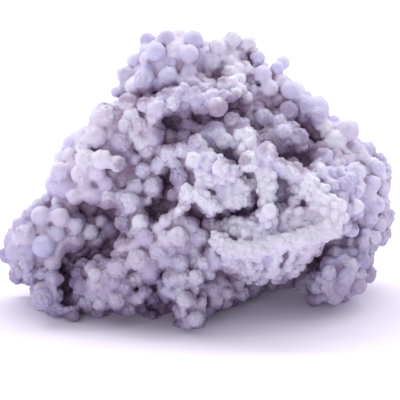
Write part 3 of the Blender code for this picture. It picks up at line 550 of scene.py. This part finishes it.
def grow_balls(core, ball):
    """Middles and radii of all the balls.

    First come those placed one by one, then an outer layer with gaps, then an inner layer that fills them.
    """
    rng = np.random.default_rng(SEED)
    middles, radii = seen_balls(core)
    placed = seen(middles)
    placed_radii = radii.copy()
    layers = (
        (OUTER_SPACING, OUTER_STAND, OUTER_CLEARANCE),
        (INNER_SPACING, INNER_STAND, INNER_CLEARANCE),
    )
    for spacing, stand, clearance in layers:
        spots = surface_spots(core, SURFACE_SPOTS, rng)
        cells = np.rint((spots - LOW_CORNER) / CORE_STEP).astype(int)
        radius = ball[tuple(cells.T)] * (1 + RADIUS_SPREAD * rng.normal(size=len(spots)))
        sunk = CRUST_RADIUS - ball[tuple(cells.T)]
        share = rng.uniform(size=len(spots))
        low = np.where(sunk > 0, CRUST_STAND[0] - sunk, stand[0])
        high = np.where(sunk > 0, CRUST_STAND[1] - sunk, stand[1])
        middle = spots + outward_at(core, spots) * (radius * (low + share * (high - low)))[:, None]
        place = seen(middle)
        behind = place - np.outer(FAR_END_ROOM * radius, (0, 0, 1))
        clear = outline_distance(place) < -OUTLINE_ROOM * radius
        clear &= pit_distance(behind) > PIT_ROOM * radius
        for i in np.flatnonzero(clear):
            room = np.linalg.norm(middles - middle[i], axis=1) > spacing * (radii + radius[i])
            if not room.all():
                continue
            aside = np.linalg.norm(placed[:, :2] - place[i, :2], axis=1)
            ahead = place[i, 2] - placed[:, 2]
            hides = (aside < clearance * (placed_radii + radius[i])) & (ahead > -SEEN_AHEAD)
            if np.any(hides & (ahead < SEEN_BEHIND)):
                continue
            middles = np.vstack([middles, middle[i]])
            radii = np.append(radii, radius[i])
    return middles, radii


def fine_core(core, voxel):
    """The core's distance on a fine grid, and the grid's axes."""
    low = LOW_CORNER.copy()
    low[2] = -CELLS_BELOW_GROUND * voxel
    counts = np.ceil((HIGH_CORNER - low) / voxel).astype(int)
    axes = [low[i] + voxel * np.arange(counts[i]) for i in range(3)]
    distance = np.empty(counts, np.float32)
    for i, x in enumerate(axes[0]):
        slab = np.stack(np.meshgrid([x], axes[1], axes[2], indexing="ij"), -1)
        distance[i] = at_points(core, slab.reshape(-1, 3)).reshape(counts[1:])
    return distance, axes


def add_balls(distance, axes, middles, radii):
    """Join balls to what the grid holds, and return which ball is nearest in each cell."""
    owner = np.full(distance.shape, len(radii), np.int32)
    low = np.array([axis[0] for axis in axes])
    voxel = axes[0][1] - axes[0][0]
    for number, (middle, radius) in enumerate(zip(middles, radii)):
        reach = radius + BALL_MARGIN
        first = np.maximum(((middle - reach - low) / voxel).astype(int), 0)
        last = np.minimum(((middle + reach - low) / voxel).astype(int) + 2, distance.shape)
        if np.any(first >= last):
            continue
        block = tuple(slice(a, b) for a, b in zip(first, last))
        near = np.stack(np.meshgrid(*[axes[i][block[i]] for i in range(3)], indexing="ij"), -1)
        gap = np.linalg.norm(near - middle, axis=-1) - radius
        owner[block] = np.where(gap < distance[block], number, owner[block])
        distance[block] = smooth_min(distance[block], gap, BALL_BLEND * radius ** 2)
    return owner


def surface_mesh(distance, axes):
    """The grid's surface, cut off flat at the ground, as points in millimetres and quads."""
    grid = openvdb.FloatGrid(EMPTY_DISTANCE)
    grid.copyFromArray(np.maximum(distance, -axes[2]).astype(np.float32))
    points, quads = grid.convertToQuads(isovalue=0.0)
    voxel = axes[0][1] - axes[0][0]
    return largest_piece(points * voxel + np.array([axis[0] for axis in axes]), quads)


def largest_piece(points, quads):
    """The quads that hang together in the largest piece, with their points."""
    label = np.arange(len(points))
    while True:
        lowest = label[quads].min(1)
        changed = label.copy()
        for corner in range(quads.shape[1]):
            np.minimum.at(changed, quads[:, corner], lowest)
        changed = changed[changed]
        if np.array_equal(changed, label):
            break
        label = changed
    names, counts = np.unique(label, return_counts=True)
    quads = quads[label[quads[:, 0]] == names[np.argmax(counts)]]
    used, quads = np.unique(quads, return_inverse=True)
    return points[used], quads.reshape(-1, 4)


def mesh_of(name, points, faces):
    """A mesh in metres, from points in millimetres."""
    mesh = bpy.data.meshes.new(name)
    mesh.from_pydata(((points - BASE_MIDDLE) * MM).tolist(), [], faces.tolist())
    return mesh


def add_object(name, data):
    """Put a mesh, a lamp or a camera in the scene."""
    thing = bpy.data.objects.new(name, data)
    bpy.context.scene.collection.objects.link(thing)
    return thing


def grain(distance, axes):
    """Roughen the surface that the grid holds."""
    near = np.argwhere(np.abs(distance) < GRAIN_BAND)
    places = np.stack([axes[i][near[:, i]] for i in range(3)], -1)
    rough = sum(
        size * waves(places, length, GRAIN_SEED + number)
        for number, (length, size) in enumerate(GRAINS)
    )
    distance[tuple(near.T)] += rough.astype(np.float32)


def blurred(grid, reach):
    """The grid averaged over a box of this many cells each way, twice over."""
    width = 2 * reach + 1
    for axis in (0, 1, 2, 0, 1, 2):
        pad = [(reach + 1, reach) if i == axis else (0, 0) for i in range(3)]
        total = np.moveaxis(np.cumsum(np.pad(grid, pad, mode="edge"), axis), axis, 0)
        grid = np.moveaxis((total[width:] - total[:-width]) / width, 0, axis)
    return grid


def mend(mesh):
    """Close the few places where fewer triangles make the surface touch itself."""
    shape = bmesh.new()
    shape.from_mesh(mesh)
    bmesh.ops.triangulate(shape, faces=shape.faces)
    while True:
        pinched = {corner for edge in shape.edges if len(edge.link_faces) != 2 for corner in edge.verts}
        if not pinched:
            break
        bmesh.ops.delete(shape, geom=list(pinched), context="VERTS")
        rim = [edge for edge in shape.edges if len(edge.link_faces) == 1]
        filled = bmesh.ops.holes_fill(shape, edges=rim, sides=0)["faces"]
        bmesh.ops.triangulate(shape, faces=filled)
    shape.to_mesh(mesh)
    shape.free()


def add_attribute(mesh, name, values):
    """Keep one number per corner of the mesh for the material."""
    mesh.attributes.new(name, "FLOAT", "POINT").data.foreach_set("value", values.astype(np.float32))


def corners_of(mesh):
    """The mesh's corners in the form's frame, in millimetres, and its normals there."""
    points = np.empty(len(mesh.vertices) * 3, np.float32)
    mesh.vertices.foreach_get("co", points)
    normals = np.empty(len(mesh.vertices) * 3, np.float32)
    mesh.vertex_normals.foreach_get("vector", normals)
    return points.reshape(-1, 3) / MM + BASE_MIDDLE, normals.reshape(-1, 3)


def stone_mesh(distance, axes):
    """The surface that the grid holds, smooth and with fewer triangles."""
    points, quads = surface_mesh(distance, axes)
    draft = add_object("stone_draft", mesh_of("stone_draft", points, quads))
    fewer = draft.modifiers.new("fewer_triangles", "DECIMATE")
    fewer.ratio = TRIANGLES / (2 * len(quads))
    mesh = bpy.data.meshes.new_from_object(draft.evaluated_get(bpy.context.evaluated_depsgraph_get()))
    bpy.data.objects.remove(draft)
    mend(mesh)
    mesh.shade_smooth()
    mesh.name = "stone"
    return mesh


def make_stone():
    """The stone's fine surface, with what its material needs at each corner."""
    core, ball = core_grid()
    middles, radii = grow_balls(core, ball)
    distance, axes = fine_core(core, VOXEL)
    owner = add_balls(distance, axes, middles, radii)
    grain(distance, axes)
    mesh = stone_mesh(distance, axes)

    points, normals = corners_of(mesh)
    low = np.array([axis[0] for axis in axes])
    filled = np.clip(0.5 - distance / VOXEL, 0, 1)
    for name, reach, lift in HOLLOW_SCALES:
        shade = blurred(filled, round(reach / VOXEL))
        add_attribute(mesh, name, at_points(shade, points + lift * normals, low, VOXEL))
    cells = np.rint((points - normals * VOXEL - low) / VOXEL).astype(int)
    cells = np.clip(cells, 0, np.array(owner.shape) - 1)
    owners = owner[tuple(cells.T)]
    rng = np.random.default_rng(BALL_LOOKS_SEED)
    tints = np.append(rng.uniform(-1, 1, len(radii)), CORE_TINT)
    add_attribute(mesh, "tint", tints[owners])
    paleness = np.append(rng.uniform(0, 1, len(radii)), CORE_PALENESS)
    add_attribute(mesh, "paleness", paleness[owners])
    # How far into a cave each corner lies, for the painted shade there
    add_attribute(mesh, "cave", pit_distance(seen(points)))
    crust = np.where(ball < CRUST_RADIUS, 1.0, 0.0)
    add_attribute(mesh, "crust", at_points(blurred(crust, 1), points))
    rough = np.clip((SMOOTH_RADIUS - ball) / (SMOOTH_RADIUS - ROUGH_RADIUS), 0, 1)
    add_attribute(mesh, "rough", at_points(blurred(rough, 1), points))
    return add_object("stone", mesh)


def attribute_values(mesh, name):
    """The numbers kept under this name, one per corner of the mesh."""
    values = np.empty(len(mesh.vertices), np.float32)
    mesh.attributes[name].data.foreach_get("value", values)
    return values


def bead_shape():
    """The corners and triangles of a rough ball: a top, two rings of five corners, and a bottom."""
    upper = [(math.cos(turn), math.sin(turn)) for turn in np.arange(5) * 2 * math.pi / 5]
    lower = [(math.cos(turn), math.sin(turn)) for turn in (np.arange(5) + 0.5) * 2 * math.pi / 5]
    wide, tall = 2 / math.sqrt(5), 1 / math.sqrt(5)
    corners = [(0, 0, 1)] + [(wide * x, wide * y, tall) for x, y in upper]
    corners += [(wide * x, wide * y, -tall) for x, y in lower] + [(0, 0, -1)]
    triangles = []
    for i in range(5):
        after = (i + 1) % 5
        triangles += [(0, 1 + i, 1 + after), (1 + i, 6 + i, 1 + after)]
        triangles += [(6 + i, 6 + after, 1 + after), (11, 6 + after, 6 + i)]
    return np.array(corners), np.array(triangles)


def make_beads(stone):
    """Small beads sunk in the stone's surface, each turned and misshapen at random.

    They stand thickest on rough places, and on smooth ones by the share BEADS_ON_SMOOTH.
    """
    mesh = stone.data
    rng = np.random.default_rng(BEAD_SEED)
    faces = np.empty(len(mesh.polygons) * 3, np.int32)
    mesh.polygons.foreach_get("vertices", faces)
    faces = faces.reshape(-1, 3)
    areas = np.empty(len(mesh.polygons), np.float32)
    mesh.polygons.foreach_get("area", areas)
    points, normals = corners_of(mesh)
    rough = attribute_values(mesh, "rough")[faces].mean(1)
    weights = areas * (BEADS_ON_SMOOTH + (1 - BEADS_ON_SMOOTH) * rough)
    chosen = faces[rng.choice(len(faces), BEAD_COUNT, p=weights / weights.sum())]
    share = rng.dirichlet((1, 1, 1), BEAD_COUNT)
    place = np.einsum("ij,ijk->ik", share, points[chosen])
    normal = np.einsum("ij,ijk->ik", share, normals[chosen])
    axis = normal + BEAD_TILT * rng.normal(size=(BEAD_COUNT, 3))
    axis /= np.linalg.norm(axis, axis=1, keepdims=True)
    side = np.cross(axis, rng.normal(size=(BEAD_COUNT, 3)))
    side /= np.linalg.norm(side, axis=1, keepdims=True)
    turn = np.stack([side, np.cross(axis, side), axis], 1)
    size = rng.uniform(*BEAD_SIZES, BEAD_COUNT)
    height = rng.uniform(*BEAD_HEIGHTS, BEAD_COUNT)
    corners, triangles = bead_shape()
    misshapen = 1 + BEAD_MISSHAPEN * rng.normal(size=(BEAD_COUNT, len(corners), 1))
    stretched = corners * np.stack([np.ones(BEAD_COUNT), np.ones(BEAD_COUNT), height], 1)[:, None]
    stretched = stretched * size[:, None, None] * misshapen
    depth = (BEAD_SINK * size * height)[:, None, None] * axis[:, None]
    placed = place[:, None] + np.einsum("nci,nij->ncj", stretched, turn) - depth
    placed = placed.reshape(-1, 3)
    placed[:, 2] = np.maximum(placed[:, 2], 0)
    many = (len(corners) * np.arange(BEAD_COUNT)[:, None, None] + triangles).reshape(-1, 3)
    beads = mesh_of("beads_1", placed, many)
    beads.shade_smooth()
    add_attribute(beads, "tint", np.repeat(rng.uniform(-1, 1, BEAD_COUNT), len(corners)))
    # The beads take the stone's values, so the painted shade of crevices and caves falls on them too
    for name in ("near_hollow", "wide_hollow", "crust", "cave", "paleness"):
        values = np.einsum("ij,ij->i", share, attribute_values(mesh, name)[chosen])
        add_attribute(beads, name, np.repeat(values, len(corners)))
    return add_object("beads_1", beads)


def attribute_node(nodes, name):
    """The numbers that the mesh keeps under this name."""
    node = nodes.new("ShaderNodeAttribute")
    node.attribute_name = name
    return node.outputs["Fac"]


def stretch(nodes, links, value, low, high):
    """0 where value is low, 1 where it is high, and smooth between."""
    node = nodes.new("ShaderNodeMapRange")
    node.interpolation_type = "SMOOTHSTEP"
    links.new(value, node.inputs["Value"])
    node.inputs["From Min"].default_value = low
    node.inputs["From Max"].default_value = high
    return node.outputs["Result"]


def mixed(nodes, links, share, first, second):
    """Two colours mixed by the share of the second. Each is a colour or a socket."""
    node = nodes.new("ShaderNodeMix")
    node.data_type = "RGBA"
    links.new(share, node.inputs["Factor"])
    for socket, colour in ((node.inputs[6], first), (node.inputs[7], second)):
        if isinstance(colour, tuple):
            socket.default_value = (*colour, 1)
        else:
            links.new(colour, socket)
    return node.outputs[2]


def multiplied(nodes, links, share, first, second):
    """The first colour, multiplied by the second by a share."""
    socket = mixed(nodes, links, share, first, second)
    socket.node.blend_type = "MULTIPLY"
    return socket


def noise(nodes, links, size, detail, roughness):
    """Noise with features of about this size in metres."""
    where = nodes.new("ShaderNodeTexCoord").outputs["Object"]
    node = nodes.new("ShaderNodeTexNoise")
    links.new(where, node.inputs["Vector"])
    node.inputs["Scale"].default_value = 1 / size
    node.inputs["Detail"].default_value = detail
    node.inputs["Roughness"].default_value = roughness
    return node.outputs["Fac"]


def stone_material(name, scattering):
    """Milky lavender stone, paler on its crusts, partly by a painted highlight on their open raised
    places, with painted shade in its crevices and caves and towards its foot.
    """
    material = bpy.data.materials.new(name)
    material.use_nodes = True
    nodes, links = material.node_tree.nodes, material.node_tree.links
    shader = nodes["Principled BSDF"]
    tint = attribute_node(nodes, "tint")
    cool = mixed(nodes, links, stretch(nodes, links, tint, *COOL_TINTS), BODY_COLOUR, COOL_COLOUR)
    warm = mixed(nodes, links, stretch(nodes, links, tint, *WARM_TINTS), cool, WARM_COLOUR)
    patches = stretch(nodes, links, noise(nodes, links, *PATCH_NOISE), *WARM_PATCHES)
    blotched = mixed(nodes, links, patches, warm, WARM_COLOUR)
    paleness = attribute_node(nodes, "paleness")
    pale_balls = stretch(nodes, links, paleness, *PALE_BALLS)
    lighter = mixed(nodes, links, pale_balls, blotched, PALE_COLOUR)
    dark_balls = stretch(nodes, links, paleness, *DARK_BALLS)
    varied = multiplied(nodes, links, dark_balls, lighter, DARK_BALL_SHADE)
    # The crusts are palest on their open raised places: their own pale colour, partly a painted highlight
    raised = stretch(nodes, links, attribute_node(nodes, "near_hollow"), *RAISED)
    crust = mixed(nodes, links, raised, blotched, PALE_COLOUR)
    crusted = mixed(nodes, links, attribute_node(nodes, "crust"), varied, crust)
    # Painted shade: crevices between the balls darken towards CREVICE_COLOUR, which also holds a warmer
    # tint of the stone's own
    near = stretch(nodes, links, attribute_node(nodes, "near_hollow"), *NEAR_DARK)
    crevice_tint_and_shade = mixed(nodes, links, near, crusted, CREVICE_COLOUR)
    # Painted shade: wide hollows darken towards CAVE_COLOUR, with a darker purple of the stone's own, and
    # caves are multiplied by CAVE_SHADE
    wide = stretch(nodes, links, attribute_node(nodes, "wide_hollow"), *WIDE_DARK)
    hollow = mixed(nodes, links, wide, crevice_tint_and_shade, CAVE_COLOUR)
    cave = stretch(nodes, links, attribute_node(nodes, "cave"), *CAVE_DARK)
    hollow = multiplied(nodes, links, cave, hollow, CAVE_SHADE)
    # Painted shade near the floor: the stone darkens towards its foot
    height = nodes.new("ShaderNodeSeparateXYZ")
    links.new(nodes.new("ShaderNodeTexCoord").outputs["Object"], height.inputs["Vector"])
    foot = nodes.new("ShaderNodeMapRange")
    links.new(height.outputs["Z"], foot.inputs["Value"])
    foot.inputs["From Min"].default_value, foot.inputs["From Max"].default_value = FOOT_DARK
    foot.inputs["To Min"].default_value, foot.inputs["To Max"].default_value = FOOT_SHARE
    foot_shaded = multiplied(nodes, links, foot.outputs["Result"], hollow, FOOT_SHADE_COLOUR)
    links.new(foot_shaded, shader.inputs["Base Color"])
    shader.inputs["Subsurface Weight"].default_value = scattering
    shader.inputs["Subsurface Radius"].default_value = SCATTERING_REACH
    shader.inputs["Subsurface Scale"].default_value = SCATTERING_DEPTH
    mottle = nodes.new("ShaderNodeMapRange")
    links.new(noise(nodes, links, *GLOSS_NOISE), mottle.inputs["Value"])
    mottle.inputs["To Min"].default_value, mottle.inputs["To Max"].default_value = ROUGHNESS
    links.new(mottle.outputs["Result"], shader.inputs["Roughness"])
    bump = nodes.new("ShaderNodeBump")
    bump.inputs["Strength"].default_value = BUMP_STRENGTH
    bump.inputs["Distance"].default_value = BUMP_DEPTH
    links.new(noise(nodes, links, *BUMP_NOISE), bump.inputs["Height"])
    links.new(bump.outputs["Normal"], shader.inputs["Normal"])
    return material


def floor_material():
    """Pale, dull paper."""
    material = bpy.data.materials.new("floor_paper")
    material.use_nodes = True
    shader = material.node_tree.nodes["Principled BSDF"]
    shader.inputs["Base Color"].default_value = FLOOR_COLOUR
    shader.inputs["Roughness"].default_value = FLOOR_ROUGHNESS
    shader.inputs["Specular IOR Level"].default_value = FLOOR_SHINE
    return material


def make_floor():
    """The ground under the stone."""
    low, high = -FLOOR_HALF, FLOOR_HALF
    mesh = bpy.data.meshes.new("floor")
    mesh.from_pydata([(low, low, 0), (high, low, 0), (high, high, 0), (low, high, 0)], [], [(0, 1, 2, 3)])
    mesh.materials.append(floor_material())
    floor = add_object("floor", mesh)


def make_camera():
    """The photograph's view: from the front, looking down by VIEW_TILT."""
    back = Vector((0, -math.cos(VIEW_TILT), math.sin(VIEW_TILT)))
    up = Vector((0, math.sin(VIEW_TILT), math.cos(VIEW_TILT)))
    camera = add_object("camera", bpy.data.cameras.new("camera"))
    camera.location = (up * VIEW_UP + back * VIEW_DISTANCE - Vector(BASE_MIDDLE)) * MM
    camera.rotation_mode = "QUATERNION"
    camera.rotation_quaternion = (-back).to_track_quat("-Z", "Y")
    camera.data.sensor_width = SENSOR
    camera.data.lens = SENSOR * VIEW_DISTANCE / PICTURE_WIDTH
    camera.data.clip_start, camera.data.clip_end = CAMERA_RANGE
    bpy.context.scene.camera = camera


def make_sky():
    """Soft light from all round, strongest from the back, the top and the sides."""
    world = bpy.data.worlds.new("studio")
    bpy.context.scene.world = world
    world.use_nodes = True
    nodes, links = world.node_tree.nodes, world.node_tree.links
    sky = nodes["Background"]
    sky.inputs["Color"].default_value = SKY_COLOUR
    direction = nodes.new("ShaderNodeTexCoord").outputs["Generated"]
    towards = nodes.new("ShaderNodeVectorMath")
    towards.operation = "DOT_PRODUCT"
    links.new(direction, towards.inputs[0])
    towards.inputs[1].default_value = SKY_RISE
    parts = nodes.new("ShaderNodeSeparateXYZ")
    links.new(direction, parts.inputs["Vector"])
    aside = nodes.new("ShaderNodeMath")
    aside.operation = "ABSOLUTE"
    links.new(parts.outputs["X"], aside.inputs[0])
    sides = nodes.new("ShaderNodeMath")
    sides.operation = "MULTIPLY_ADD"
    links.new(aside.outputs["Value"], sides.inputs[0])
    sides.inputs[1].default_value = SKY_SIDES
    links.new(towards.outputs["Value"], sides.inputs[2])
    strength = nodes.new("ShaderNodeMath")
    strength.operation = "MAXIMUM"
    links.new(sides.outputs["Value"], strength.inputs[0])
    strength.inputs[1].default_value = SKY_LEAST
    links.new(strength.outputs["Value"], sky.inputs["Strength"])


def make_lamps():
    """Wide lamps aimed at the stone."""
    for name, place, size, energy in LIGHTS:
        lamp = add_object(name, bpy.data.lights.new(name, "AREA"))
        lamp.data.energy = energy
        lamp.data.shape = "RECTANGLE"
        lamp.data.size, lamp.data.size_y = size
        lamp.location = place
        lamp.rotation_euler = (Vector(LIGHT_AIM) - lamp.location).to_track_quat("-Z", "Y").to_euler()


stone = make_stone()
stone.data.materials.append(stone_material("chalcedony_body", STONE_SCATTERING))
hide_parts("chalcedony")
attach(stone, "root")

crust = make_beads(stone)
crust.data.materials.append(stone_material("chalcedony_crust", BEAD_SCATTERING))
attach(crust, "root")

make_floor()
make_sky()
make_lamps()
make_camera()
bpy.context.scene.view_settings.view_transform = "Standard"
